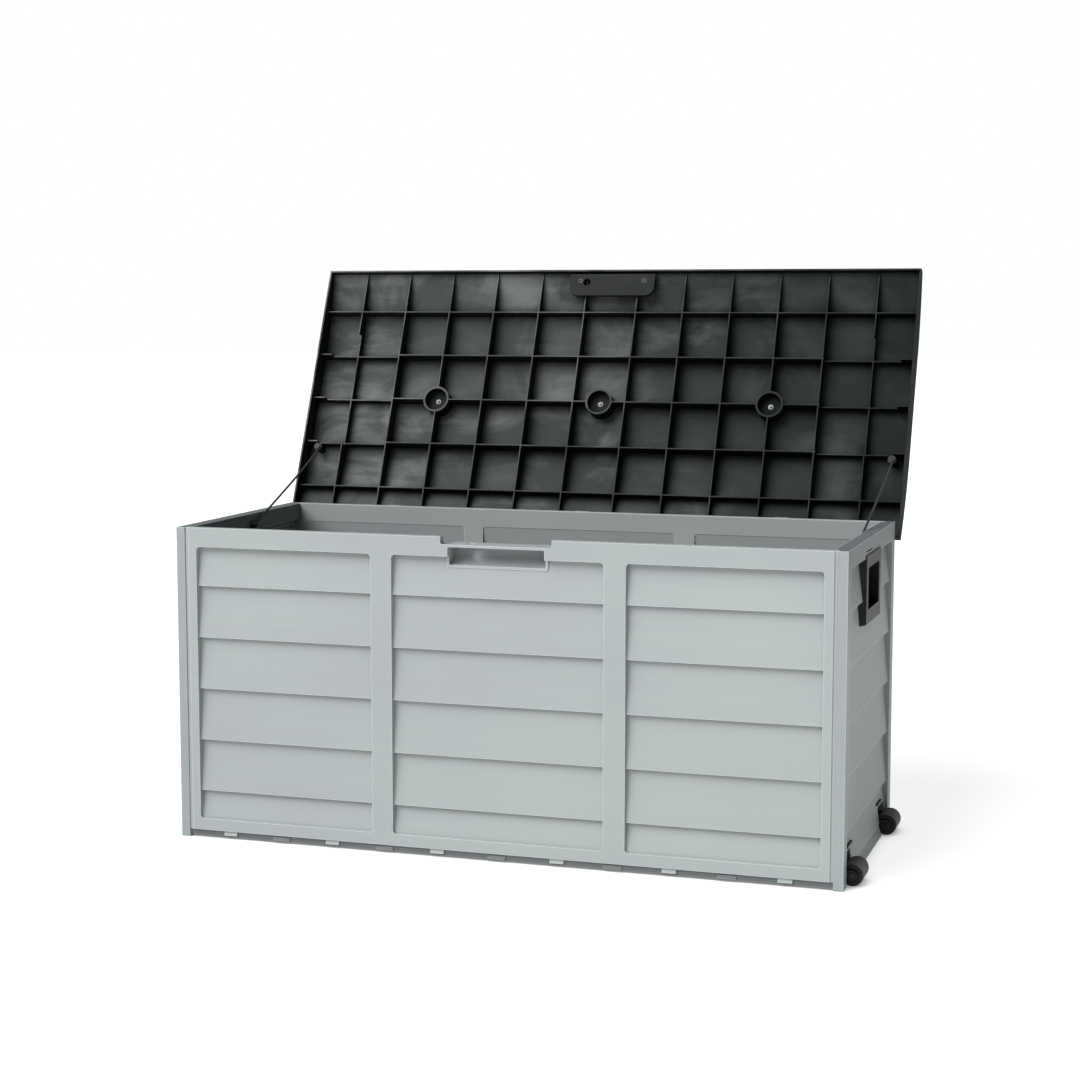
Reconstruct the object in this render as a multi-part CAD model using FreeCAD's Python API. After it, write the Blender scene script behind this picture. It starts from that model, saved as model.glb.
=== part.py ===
import FreeCAD, Part
import math
import os

os.makedirs("parts", exist_ok=True)

# Deck storage box. Millimetres. X runs along the box, the front faces -Y, Z is up.
# The origin is the middle of the body's underside, on the ground.

# how far a cut runs past the face it opens
past = 1.0

# ---- overall sizes
body_width = 1106.0
body_depth = 451.0
body_height = 516.0
open_angle = 113.65

# ---- walls
wall_thickness = 14.5
post_width = 16.0
ground_gap = 13.0
edge_rebate = 5.0
rebate_depth = 1.5
seam_chamfer = 1.2
board_skin = 3.5
tongue_thickness = 4.0
tongue_reach = 6.0
tongue_inset = 6.0
groove_clearance = 0.2

# ---- sunk bays with slanting boards
bay_low = 32.2
bay_top_margin = 31.5
middle_bay_half = 175.4
mullion_width = 35.6
side_bay_margin = 19.4
bay_corner = 6.0
board_recess_low = 3.3
board_recess_high = 10.6
full_boards = 4
bottom_board_share = 0.554
top_board_share = 0.755

# ---- end panels
end_stile = 26.0
end_rail_height = 29.0
rail_thickness = 23.0
end_bay_low = 18.0
toe_reach = 2.0
toe_lift = 1.5
toe_root = 4.0
foot_recess = 4.0
pad_margin = 8.0
ledge_reach = 18.0
ledge_low = 4.0

# ---- latch notch and pull pocket in the front panel
notch_half = 92.0
notch_depth = 12.0
pocket_half = 80.0
pocket_height = 29.0
pocket_roof = 4.0
pocket_depth = 38.0
pocket_wall = 4.0
pocket_flat = 4.0
pocket_corner = 3.0
pocket_rim_recess = 7.5
notch_corner = 4.0
padlock_radius = 7.0
padlock_x = -48.0
padlock_inset = 16.0

# ---- hooks along the foot of the front and back panels
hook_pitch = 181.8
hook_start = 100.2
hook_width = 22.4
floor_hook_width = 29.0
hook_low = 6.0
floor_hook_low = 4.5
floor_hook_height = 5.5
hook_slope = 2.2

# ---- floor
deck_thickness = 3.0
floor_inset = 3.5
skirt_thickness = 3.0
floor_rib = 3.0
floor_rib_bottom = 3.0
floor_ribs_long = 3
floor_ribs_cross = 9
centre_foot = 70.0

# ---- lid
lid_wall = 3.0
lid_side_overhang = 7.0
lid_front_overhang = 4.6
lid_rear_overhang = 38.0
lid_gap = 0.5
rim_drop = 10.0
rim_rise = 2.0
shoulder_rise = 21.0
crown_rise = 27.0
crown_share = 0.325
shoulder_share = 0.664
rib_thickness = 2.0
long_rib_pitch = 86.7
long_rib_shift = 6.7
cross_rib_pitch = 87.4
first_cross_rib = 48.7
relief_height = 12.0
relief_width = 134.0
relief_side_margin = 25.0
relief_front = 130.0
relief_rear = 90.0
boss_radius = 24.5
boss_wall = 3.5
boss_depth = 15.0
boss_spacing = 312.0
boss_nub_radius = 3.0
boss_nub_height = 4.0

# ---- latch pad under the lid's front edge
pad_half = 80.0
pad_depth = 42.0
pad_front_gap = 4.4
pad_thickness = 7.0
pad_corner = 16.0
pad_screw_x = 60.0
pad_screw_inset = 13.0
screw_head_radius = 4.5
screw_head_height = 2.5
screw_shank_radius = 2.2
screw_shank_length = 5.0
screw_boss_radius = 6.0
driver_slot = 1.4
driver_slot_depth = 1.0

# ---- hinges
hinge_setback = 17.0
hinge_top_gap = 1.0
knuckle_radius = 8.0
hinge_pin_radius = 4.0
running_clearance = 0.06
body_knuckle_width = 25.0
lid_knuckle_width = 12.0
knuckle_gap = 0.5
side_hinge_x = 356.0

# ---- handles
handle_proud = 2.0
handle_face_half = 68.0
handle_root_half = 80.0
handle_height = 108.0
handle_top_margin = 25.0
handle_flange = 14.0
handle_root_drop = 2.0
grip_half = 52.0
grip_low_margin = 22.0
grip_bar = 20.0
handle_shell = 4.0
handle_pocket = 32.0
handle_roof_lift = 11.0
slit_near = 4.0
slit_far = 62.0
slit_height = 3.0
slit_depth = 3.0
slit_above_handle = 4.5

# ---- wheels
wheel_radius = 17.3
wheel_width = 53.0
wheel_inset = 61.0
wheel_lift = 0.2
wheel_back_gap = 5.7
tyre_thickness = 4.0
tyre_lip = 2.5
tyre_groove = 0.8
axle_radius = 3.0
axle_head = 1.5
hub_dish = 1.5
hub_rim = 2.0
hub_collar_radius = 6.0
side_play = 0.6
arm_thickness = 3.0
arm_radius = 8.5
housing_plate = 4.0
well_headroom = 11.2
well_side = 5.5
clip_above_well = 5.0
housing_above_clip = 3.0
housing_side = 1.0
clip_height = 4.0
clip_shift = 20.5
clip_half = 22.0
clip_clearance = 0.4
clip_short = 4.0

# ---- lid stays
stay_radius = 2.2
stay_eye_radius = 7.5
stay_lid_x_margin = 19.0
stay_rib_offset = 10.0
stay_run_out = 16.0
stay_splay = 4.495
stay_box_y = 10.0
stay_box_drop = 19.0
stay_box_standoff = 1.8
stay_start = 5.0
stay_bend_share = 0.45
stay_boss_radius = 4.6
stay_screw_length = 9.0

# ---- worked out from the sizes above
end_x = body_width / 2
front_y = -body_depth / 2
back_y = body_depth / 2
panel_half = end_x - post_width
bay_high = body_height - bay_top_margin
lap_pitch = (bay_high - bay_low) / (full_boards + bottom_board_share + top_board_share)
hook_count = 1 + int((panel_half - hook_start - hook_width / 2) / hook_pitch)
first_lap = bay_low + bottom_board_share * lap_pitch
side_bay_inner = middle_bay_half + mullion_width
side_bay_outer = panel_half - side_bay_margin
rail_low = body_height - end_rail_height
end_bay_half = back_y - end_stile
notch_floor = body_height - notch_depth
pocket_high = notch_floor - pocket_roof
pocket_low = pocket_high - pocket_height
hinge_y = back_y + hinge_setback
hinge_z = body_height - knuckle_radius - hinge_top_gap
lid_half = end_x + lid_side_overhang
lid_front = front_y - lid_front_overhang
lid_rear = back_y + lid_rear_overhang
lid_middle = (lid_front + lid_rear) / 2
lid_reach = (lid_rear - lid_front) / 2
rib_plane = body_height + lid_gap
cross_ribs_each_side = 1 + int((lid_half - lid_wall - first_cross_rib) / cross_rib_pitch)
relief_outer_half = lid_half - relief_side_margin
relief_inner_half = relief_outer_half - relief_width
rim_bottom = rib_plane - rim_drop
middle_rib_y = lid_middle + long_rib_shift
pad_front = lid_front + lid_wall + pad_front_gap
pad_rear = pad_front + pad_depth
padlock_y = pad_front + padlock_inset
wheel_y = back_y - wheel_inset
wheel_x = panel_half + wheel_radius + wheel_back_gap
wheel_z = wheel_radius + wheel_lift
hub_radius = wheel_radius - tyre_thickness
well_height = wheel_lift + 2 * wheel_radius + well_headroom
clip_low = well_height + clip_above_well
housing_height = clip_low + clip_height + housing_above_clip
hinge_centres = [-side_hinge_x, 0.0, side_hinge_x]
handle_high = body_height - handle_top_margin
handle_low = handle_high - handle_height
grip_low = handle_low + grip_low_margin
grip_high = handle_high - grip_bar
inner_bay_low = first_lap
stay_box_x = end_x - rail_thickness - stay_box_standoff - stay_radius
stay_box_z = body_height - stay_box_drop
stay_lid_x = end_x - stay_lid_x_margin
stay_lid_plane = rib_plane + screw_head_height
stay_lid_y = middle_rib_y + long_rib_pitch + stay_rib_offset

X = FreeCAD.Vector(1, 0, 0)
Y = FreeCAD.Vector(0, 1, 0)
Z = FreeCAD.Vector(0, 0, 1)
ORIGIN = FreeCAD.Vector(0, 0, 0)


def box(x_low, x_high, y_low, y_high, z_low, z_high):
    corner = FreeCAD.Vector(x_low, y_low, z_low)
    return Part.makeBox(x_high - x_low, y_high - y_low, z_high - z_low, corner)


def rod(radius, length, start, axis):
    return Part.makeCylinder(radius, length, start, axis)


def along_x(outline, x_low, x_high):
    points = [FreeCAD.Vector(x_low, y, z) for y, z in outline]
    face = Part.Face(Part.makePolygon(points + points[:1]))
    return face.extrude(FreeCAD.Vector(x_high - x_low, 0, 0))


def along_y(outline, y_low, y_high):
    points = [FreeCAD.Vector(x, y_low, z) for x, z in outline]
    face = Part.Face(Part.makePolygon(points + points[:1]))
    return face.extrude(FreeCAD.Vector(0, y_high - y_low, 0))


def edges_along(shape, axis):
    found = []
    for edge in shape.Edges:
        if len(edge.Vertexes) == 2:
            run = edge.Vertexes[1].Point - edge.Vertexes[0].Point
            if abs(abs(run.dot(axis)) - run.Length) < 0.001:
                found.append(edge)
    return found


def rounded(shape, axis, radius):
    return shape.makeFillet(radius, edges_along(shape, axis))


def turned(shape, degrees):
    copy = shape.copy()
    copy.rotate(ORIGIN, Z, degrees)
    return copy


def moved(shape, x, y, z):
    copy = shape.copy()
    copy.translate(FreeCAD.Vector(x, y, z))
    return copy


def mirrored_x(shape):
    return shape.mirror(ORIGIN, X)


def opened(shape):
    copy = shape.copy()
    copy.rotate(FreeCAD.Vector(0, hinge_y, hinge_z), X, -open_angle)
    return copy


def clean(shape):
    tidy = shape.removeSplitter()
    if len(tidy.Solids) == 1:
        return tidy.Solids[0]
    return Part.makeCompound(tidy.Solids)


def save(name, shape):
    shape.exportStep("parts/" + name + ".step")


# ---- siding, cut from a wall whose face is at y = 0 and looks along -Y
def lap_heights(low, high):
    heights = [low]
    lap = first_lap
    while lap < high - past:
        heights.append(lap)
        lap += lap_pitch
    heights.append(high)
    return heights


def board_outline(heights, behind, open_side):
    outline = [(open_side, heights[0])]
    for start, end in zip(heights, heights[1:]):
        outline.append((board_recess_low + behind, start))
        outline.append((board_recess_high + behind, end))
    outline.append((open_side, heights[-1]))
    return outline


def siding(half_width, low, high):
    outline = board_outline(lap_heights(low, high), 0, -past)
    window = box(-half_width, half_width, -past, board_recess_high + past, low, high)
    return along_x(outline, -half_width, half_width).common(rounded(window, Y, bay_corner))


def siding_back(half_width, low, high, thickness):
    heights = lap_heights(low, high)
    raised = [heights[0]] + [lap + board_skin for lap in heights[1:-1]] + [heights[-1]]
    outline = board_outline(raised, board_skin, thickness + past)
    window = box(-half_width, half_width, board_recess_low, thickness + past, low, high)
    return along_x(outline, -half_width, half_width).common(rounded(window, Y, bay_corner))


def long_wall():
    wall = box(-panel_half, panel_half, 0, wall_thickness, ground_gap, body_height)
    side_half = (side_bay_outer - side_bay_inner) / 2
    side_middle = (side_bay_outer + side_bay_inner) / 2
    for half, centre in ((middle_bay_half, 0), (side_half, side_middle), (side_half, -side_middle)):
        outer = siding(half, bay_low, bay_high)
        inner = siding_back(half, bay_low, bay_high, wall_thickness)
        wall = wall.cut([moved(outer, centre, 0, 0), moved(inner, centre, 0, 0)])
    for side_sign in (-1, 1):
        edge = side_sign * panel_half
        inner = edge - side_sign * edge_rebate
        low, high = sorted((edge, inner))
        wall = wall.cut(box(low, high, 0, rebate_depth, ground_gap, body_height))
        low, high = sorted((edge, edge + side_sign * tongue_reach))
        tongue_y = tongue_inset
        tongue = box(low, high, tongue_y, tongue_y + tongue_thickness, bay_low, bay_high)
        wall = wall.fuse(tongue)
    for number in range(hook_count):
        centre = hook_start + number * hook_pitch
        for side_sign in (-1, 1):
            wall = wall.fuse(hook(side_sign * centre, hook_width, hook_low, ground_gap))
    return wall


def hook(centre, width, low, high):
    outline = [(0, low), (hook_slope, high), (floor_inset, high), (floor_inset, low)]
    return along_x(outline, centre - width / 2, centre + width / 2)


def front_panel():
    wall = moved(long_wall(), 0, front_y, 0)
    shell_half = pocket_half + pocket_wall
    shell_back = front_y + pocket_depth + pocket_wall
    shell = box(-shell_half, shell_half, front_y + pocket_rim_recess, shell_back,
                pocket_low - pocket_wall, notch_floor)
    notch = box(-notch_half, notch_half, front_y - past, front_y + wall_thickness + past,
                notch_floor, body_height + 2 * notch_corner)
    wall = wall.fuse(rounded(shell, Y, pocket_wall / 2)).cut(rounded(notch, Y, notch_corner))
    wall = wall.cut(pull_pocket())
    hole_low = FreeCAD.Vector(padlock_x, padlock_y, pocket_high - past)
    return clean(wall.cut(rod(padlock_radius, pocket_roof + 2, hole_low, Z)))


def pull_pocket():
    deep = front_y + pocket_depth
    flat_end = FreeCAD.Vector(-pocket_half, front_y + pocket_flat, pocket_low)
    scoop_end = FreeCAD.Vector(-pocket_half, deep, pocket_high)
    reach = deep - (front_y + pocket_flat)
    bend_y = front_y + pocket_flat + reach * math.sin(math.radians(45))
    bend_z = pocket_low + pocket_height * (1 - math.cos(math.radians(45)))
    bend = FreeCAD.Vector(-pocket_half, bend_y, bend_z)
    front_low = FreeCAD.Vector(-pocket_half, front_y - past, pocket_low)
    front_high = FreeCAD.Vector(-pocket_half, front_y - past, pocket_high)
    edges = [
        Part.makeLine(front_low, flat_end),
        Part.Arc(flat_end, bend, scoop_end).toShape(),
        Part.makeLine(scoop_end, front_high),
        Part.makeLine(front_high, front_low),
    ]
    hollow = Part.Face(Part.Wire(edges)).extrude(FreeCAD.Vector(2 * pocket_half, 0, 0))
    mouth = box(-pocket_half, pocket_half, front_y - past, deep + past, pocket_low, pocket_high)
    return hollow.common(rounded(mouth, Y, pocket_corner))


def back_panel():
    wall = moved(turned(long_wall(), 180), 0, back_y, 0)
    for centre in hinge_centres:
        half = body_knuckle_width / 2
        start = FreeCAD.Vector(centre - half, hinge_y, hinge_z)
        barrel = rod(knuckle_radius, body_knuckle_width, start, X)
        arm = box(centre - half, centre + half, back_y, hinge_y,
                  hinge_z - knuckle_radius, hinge_z + knuckle_radius)
        bore = rod(hinge_pin_radius, body_knuckle_width, start, X)
        wall = wall.fuse([barrel, arm]).cut(bore)
    return clean(wall)


# ---- end panels, made for the right-hand end
def end_wall():
    wall = box(panel_half, end_x, front_y, back_y, 0, body_height)
    inner_half = back_y - wall_thickness
    lip = box(end_x - rail_thickness, panel_half, -inner_half, inner_half, rail_low, body_height)
    ledge_half = end_bay_half
    ledge = box(panel_half - ledge_reach, panel_half, -ledge_half, ledge_half,
                ledge_low, ground_gap - deck_thickness)
    boards = moved(turned(siding(end_bay_half, end_bay_low, rail_low), 90), end_x, 0, 0)
    inside = siding_back(end_bay_half - pad_margin, inner_bay_low, rail_low - pad_margin, post_width)
    inside = moved(turned(inside, 90), end_x, 0, 0)
    handle_pad_half = handle_root_half + pad_margin
    inside = inside.cut(box(panel_half - past, end_x, -handle_pad_half, handle_pad_half,
                            handle_low - handle_root_drop - pad_margin, body_height))
    foot = box(end_x - foot_recess, end_x + past, -end_bay_half, end_bay_half, -past, end_bay_low)
    wall = wall.fuse([lip, ledge]).cut([boards, inside, foot])
    for side_sign in (-1, 1):
        face = side_sign * back_y
        near = face - side_sign * (tongue_inset - groove_clearance)
        far = face - side_sign * (tongue_inset + tongue_thickness + groove_clearance)
        low, high = sorted((near, far))
        groove = box(panel_half, panel_half + tongue_reach + groove_clearance, low, high,
                     bay_low - groove_clearance, bay_high + groove_clearance)
        wall = wall.cut([groove, seam_bevel(face, side_sign)])
    return wall


def seam_bevel(face, side_sign):
    corner = FreeCAD.Vector(panel_half, face, 0)
    points = [corner, corner + X * seam_chamfer, corner - Y * side_sign * seam_chamfer]
    wedge = Part.Face(Part.makePolygon(points + points[:1]))
    return wedge.extrude(Z * body_height)


def toe(half_length):
    face = end_x - foot_recess
    outline = [
        (face - toe_root, toe_lift),
        (end_x + toe_reach, toe_lift),
        (face, end_bay_low),
        (face - toe_root, end_bay_low),
    ]
    return along_y(outline, -half_length, half_length)


def handle_outside():
    deep_x = end_x + handle_proud - handle_flange
    face_x = end_x + handle_proud
    root = handle_frame(deep_x, handle_root_half, handle_low - handle_root_drop)
    face = handle_frame(face_x, handle_face_half, handle_low)
    flange = Part.makeLoft([root, face], True)
    back_x = end_x + handle_proud - handle_pocket - handle_shell
    shell_half = grip_half + handle_shell
    shell = box(back_x, deep_x, -shell_half, shell_half, grip_low - handle_shell,
                grip_high + handle_roof_lift + handle_shell)
    return flange.fuse(shell)


def handle_frame(x, half, low):
    corners = [
        FreeCAD.Vector(x, -half, low),
        FreeCAD.Vector(x, half, low),
        FreeCAD.Vector(x, half, handle_high),
        FreeCAD.Vector(x, -half, handle_high),
    ]
    return Part.makePolygon(corners + corners[:1])


def handle():
    face_x = end_x + handle_proud
    deep_x = face_x - handle_flange
    back_x = face_x - handle_pocket
    opening = box(back_x, face_x + past, -grip_half, grip_half, grip_low, grip_high)
    opening = rounded(opening, X, handle_shell)
    finger_room = box(back_x, deep_x, -grip_half, grip_half, grip_high - past, grip_high + handle_roof_lift)
    return clean(handle_outside().cut([opening, finger_room]))


def rail_slit():
    low = handle_high + slit_above_handle
    return box(end_x - slit_depth, end_x + past, -slit_far, -slit_near, low, low + slit_height)


def stay_boss():
    start = FreeCAD.Vector(end_x - rail_thickness - stay_box_standoff, stay_box_y, stay_box_z)
    boss = rod(stay_boss_radius, stay_box_standoff, start, X)
    hole = rod(screw_shank_radius, stay_screw_length, start, X)
    return boss, hole


def left_end_panel():
    boss, hole = stay_boss()
    wall = end_wall().fuse([toe(end_bay_half), boss])
    wall = wall.cut([handle_outside(), rail_slit(), hole])
    return clean(mirrored_x(wall))


def right_end_panel():
    boss, hole = stay_boss()
    wall = end_wall().fuse(boss)
    cuts = [handle_outside(), rail_slit(), hole]
    for side_sign in (-1, 1):
        cuts.append(wheel_well(side_sign))
        cuts.append(clip_slot(side_sign, 0))
        cuts.append(housing_room(side_sign))
    wall = wall.cut(cuts)
    return clean(wall.fuse(toe(well_near() - well_side)))


# ---- wheels, their housings and axles, mirrored front to back by side_sign
def well_near():
    return wheel_y - wheel_width / 2 - side_play - arm_thickness


def well_far():
    return wheel_y + wheel_width / 2 + side_play + arm_thickness


def wheel_well(side_sign):
    low, high = sorted((side_sign * (well_near() - clip_clearance), side_sign * (well_far() + clip_clearance)))
    return box(panel_half - past, end_x + past, low, high, -past, well_height)


def clip_centre(side_sign):
    return side_sign * (wheel_y - clip_shift)


def clip_slot(side_sign, slack):
    middle = clip_centre(side_sign)
    return box(panel_half - past, end_x + past, middle - clip_half + slack, middle + clip_half - slack,
               clip_low + slack, clip_low + clip_height - slack)


def housing_ends(side_sign):
    near = wheel_y - clip_shift - clip_half - housing_side
    return sorted((side_sign * near, side_sign * (well_far() + well_side)))


def housing_room(side_sign):
    low, high = housing_ends(side_sign)
    return box(panel_half - ledge_reach - past, panel_half, low - past, high + past, ledge_low - past, ground_gap)


def wheel_housing(side_sign):
    low, high = housing_ends(side_sign)
    body = box(panel_half - housing_plate, panel_half, low, high, ledge_low, housing_height)
    tongue = clip_slot(side_sign, clip_clearance)
    tongue = tongue.common(box(panel_half - past, end_x - clip_short, -end_x, end_x, 0, body_height))
    body = body.fuse(tongue)
    arm_low = wheel_z - arm_radius
    for inner in (wheel_y - wheel_width / 2 - side_play, wheel_y + wheel_width / 2 + side_play + arm_thickness):
        arm_start, arm_end = sorted((side_sign * (inner - arm_thickness), side_sign * inner))
        arm = box(panel_half - housing_plate, wheel_x, arm_start, arm_end, arm_low, wheel_z + arm_radius)
        nose = rod(arm_radius, arm_thickness, FreeCAD.Vector(wheel_x, arm_start, wheel_z), Y)
        body = body.fuse([arm, nose])
    half = wheel_width / 2 + side_play + arm_thickness + past
    bore_start = FreeCAD.Vector(wheel_x, side_sign * wheel_y - half, wheel_z)
    return clean(body.cut(rod(axle_radius, 2 * half, bore_start, Y)))


def wheel_axle(side_sign):
    half = wheel_width / 2 + side_play + arm_thickness
    start = FreeCAD.Vector(wheel_x, side_sign * wheel_y - half, wheel_z)
    pin = rod(axle_radius, 2 * half, start, Y)
    head_start = FreeCAD.Vector(wheel_x, side_sign * wheel_y - half - axle_head, wheel_z)
    head = rod(axle_radius + axle_head, axle_head, head_start, Y)
    return clean(pin.fuse(head))


def wheel_hub(side_sign):
    half = wheel_width / 2
    centre_y = side_sign * wheel_y
    hub = rod(hub_radius, wheel_width, FreeCAD.Vector(wheel_x, centre_y - half, wheel_z), Y)
    for start_y in (centre_y - half, centre_y + half - hub_dish):
        start = FreeCAD.Vector(wheel_x, start_y, wheel_z)
        dish = rod(hub_radius - hub_rim, hub_dish, start, Y).cut(rod(hub_collar_radius, hub_dish, start, Y))
        hub = hub.cut(dish)
    bore = rod(axle_radius + running_clearance, wheel_width, FreeCAD.Vector(wheel_x, centre_y - half, wheel_z), Y)
    return clean(hub.cut(bore))


def wheel_tyre(side_sign):
    half = wheel_width / 2
    start = FreeCAD.Vector(wheel_x, side_sign * wheel_y - half, wheel_z)
    tyre = rod(wheel_radius, wheel_width, start, Y).cut(rod(hub_radius, wheel_width, start, Y))
    for groove_y in (tyre_lip, wheel_width - tyre_lip - tyre_groove):
        ring_start = FreeCAD.Vector(wheel_x, side_sign * wheel_y - half + groove_y, wheel_z)
        ring = rod(wheel_radius + past, tyre_groove, ring_start, Y)
        ring = ring.cut(rod(wheel_radius - tyre_groove, tyre_groove, ring_start, Y))
        tyre = tyre.cut(ring)
    return clean(tyre)


# ---- floor
def floor_panel():
    deck_low = ground_gap - deck_thickness
    edge_y = back_y - floor_inset
    deck = box(-panel_half, panel_half, -edge_y, edge_y, deck_low, ground_gap)
    rib_half_x = panel_half - ledge_reach - skirt_thickness
    pieces = []
    for rail_y in (-edge_y, edge_y - skirt_thickness):
        pieces.append(box(-panel_half, panel_half, rail_y, rail_y + skirt_thickness,
                          floor_rib_bottom, deck_low))
    for rail_x in (-rib_half_x, rib_half_x - skirt_thickness):
        pieces.append(box(rail_x, rail_x + skirt_thickness, -edge_y, edge_y, floor_rib_bottom, deck_low))
    for number in range(floor_ribs_long):
        middle = -edge_y + (number + 1) * 2 * edge_y / (floor_ribs_long + 1)
        pieces.append(box(-rib_half_x, rib_half_x, middle - floor_rib / 2, middle + floor_rib / 2,
                          floor_rib_bottom, deck_low))
    for number in range(floor_ribs_cross):
        middle = -rib_half_x + (number + 1) * 2 * rib_half_x / (floor_ribs_cross + 1)
        pieces.append(box(middle - floor_rib / 2, middle + floor_rib / 2, -edge_y, edge_y,
                          floor_rib_bottom, deck_low))
    half_foot = centre_foot / 2
    pieces.append(box(-half_foot, half_foot, -half_foot, half_foot, 0, deck_low))
    for middle in floor_hook_centres():
        latch = hook(middle, floor_hook_width, floor_hook_low, floor_hook_low + floor_hook_height)
        pieces.append(moved(latch, 0, front_y, 0))
        pieces.append(moved(turned(latch, 180), 0, back_y, 0))
    floor = deck.fuse(pieces)
    for side_sign in (-1, 1):
        low, high = housing_ends(side_sign)
        floor = floor.cut(box(panel_half - housing_plate, panel_half + past, low, high, 0, ground_gap + past))
    return clean(floor)


def floor_hook_centres():
    centres = [0.0]
    for number in range(hook_count - 1):
        offset = hook_start + (number + 0.5) * hook_pitch
        centres.extend((-offset, offset))
    return centres


# ---- lid, drawn closed and then opened about the hinge line
def arch(inset):
    reach = lid_reach - inset
    lift = lid_wall - inset
    foot = rim_bottom
    rim = rib_plane + rim_rise + lift
    shoulder = rib_plane + shoulder_rise + lift
    crown = rib_plane + crown_rise + lift
    crown_half = crown_share * lid_reach
    shoulder_y = shoulder_share * lid_reach
    if inset > 0:
        foot = rim_bottom - past
    front = [
        FreeCAD.Vector(0, lid_middle - reach, foot),
        FreeCAD.Vector(0, lid_middle - reach, rim),
        FreeCAD.Vector(0, lid_middle - shoulder_y, shoulder),
        FreeCAD.Vector(0, lid_middle - crown_half, crown),
    ]
    rear = [FreeCAD.Vector(0, 2 * lid_middle - point.y, point.z) for point in front]
    edges = [
        Part.makeLine(front[0], front[1]),
        Part.Arc(front[1], front[2], front[3]).toShape(),
        Part.makeLine(front[3], rear[3]),
        Part.Arc(rear[3], rear[2], rear[1]).toShape(),
        Part.makeLine(rear[1], rear[0]),
        Part.makeLine(rear[0], front[0]),
    ]
    half = lid_half - inset
    face = Part.Face(Part.Wire(edges))
    face.translate(FreeCAD.Vector(-half, 0, 0))
    return face.extrude(FreeCAD.Vector(2 * half, 0, 0))


def cross_rib_centres():
    centres = []
    for number in range(cross_ribs_each_side):
        offset = first_cross_rib + number * cross_rib_pitch
        centres.extend((-offset, offset))
    return centres


def long_rib_centres():
    return [middle_rib_y + step * long_rib_pitch for step in (-2, -1, 0, 1, 2)]


def lid_ribs(hollow):
    top = rib_plane + crown_rise + past
    half = rib_thickness / 2
    cross = [box(x - half, x + half, lid_front, lid_rear, rib_plane, top) for x in cross_rib_centres()]
    lengthwise = [box(-lid_half, lid_half, y - half, y + half, rib_plane, top) for y in long_rib_centres()]
    grid = cross[0].fuse(cross[1:] + lengthwise)
    for side_sign in (-1, 1):
        low, high = sorted((side_sign * relief_inner_half, side_sign * relief_outer_half))
        relief = box(low, high, middle_rib_y - relief_front, middle_rib_y + relief_rear,
                     rib_plane, rib_plane + relief_height)
        grid = grid.cut(relief)
    grid = grid.common(hollow)
    for centre in (-boss_spacing, 0, boss_spacing):
        start = FreeCAD.Vector(centre, middle_rib_y, rib_plane)
        post = rod(boss_radius, crown_rise + past, start, Z).common(hollow)
        well = rod(boss_radius - boss_wall, boss_depth, start, Z)
        nub_start = FreeCAD.Vector(centre, middle_rib_y, rib_plane + boss_depth - boss_nub_height)
        nub = Part.makeCone(boss_nub_radius / 2, boss_nub_radius, boss_nub_height, nub_start, Z)
        grid = grid.fuse(post).cut(well).fuse(nub)
    return grid


def lid_screw_posts(hollow):
    posts = []
    holes = []
    places = []
    for x in (-pad_screw_x, pad_screw_x):
        places.append((x, pad_front + pad_screw_inset, rib_plane, screw_shank_length))
    for x in (-stay_lid_x, stay_lid_x):
        places.append((x, stay_lid_y, stay_lid_plane + 2 * stay_radius, stay_screw_length))
    for x, y, low, depth in places:
        start = FreeCAD.Vector(x, y, low)
        posts.append(rod(screw_boss_radius, crown_rise + past, start, Z).common(hollow))
        holes.append(rod(screw_shank_radius, depth, start, Z))
    return posts, holes


def lid_knuckles(hollow):
    pieces = []
    bores = []
    for centre in hinge_centres:
        for side_sign in (-1, 1):
            inner = centre + side_sign * (body_knuckle_width / 2 + knuckle_gap)
            outer = inner + side_sign * lid_knuckle_width
            low, high = sorted((inner, outer))
            start = FreeCAD.Vector(low, hinge_y, hinge_z)
            barrel = rod(knuckle_radius, lid_knuckle_width, start, X)
            web = box(low, high, hinge_y - knuckle_radius, hinge_y + knuckle_radius, hinge_z,
                      rib_plane + crown_rise + past)
            pieces.append(barrel)
            pieces.append(web.common(hollow))
            bores.append(rod(hinge_pin_radius + running_clearance, lid_knuckle_width, start, X))
    return pieces, bores


def lid():
    outside = arch(0)
    hollow = arch(lid_wall)
    posts, post_holes = lid_screw_posts(hollow)
    knuckles, bores = lid_knuckles(hollow)
    ribs = lid_ribs(hollow)
    pad_room = box(-pad_half, pad_half, pad_front, pad_rear, rim_bottom, rib_plane)
    shell = outside.cut(hollow).fuse([ribs] + posts + knuckles)
    shell = shell.cut([pad_room] + post_holes + bores)
    return clean(opened(shell))


def latch_pad():
    pad = box(-pad_half, pad_half, pad_front, pad_rear, rib_plane - pad_thickness, rib_plane)
    rear_edges = [edge for edge in edges_along(pad, Z) if edge.Vertexes[0].Point.y > pad_rear - past]
    pad = pad.makeFillet(pad_corner, rear_edges)
    low = rib_plane - pad_thickness
    cuts = [rod(padlock_radius, pad_thickness + 2, FreeCAD.Vector(padlock_x, padlock_y, low - past), Z)]
    for x in (-pad_screw_x, pad_screw_x):
        start = FreeCAD.Vector(x, pad_front + pad_screw_inset, low)
        cuts.append(rod(screw_shank_radius, pad_thickness, start, Z))
        cuts.append(rod(screw_head_radius, screw_head_height, start, Z))
    return clean(opened(pad.cut(cuts)))


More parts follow.
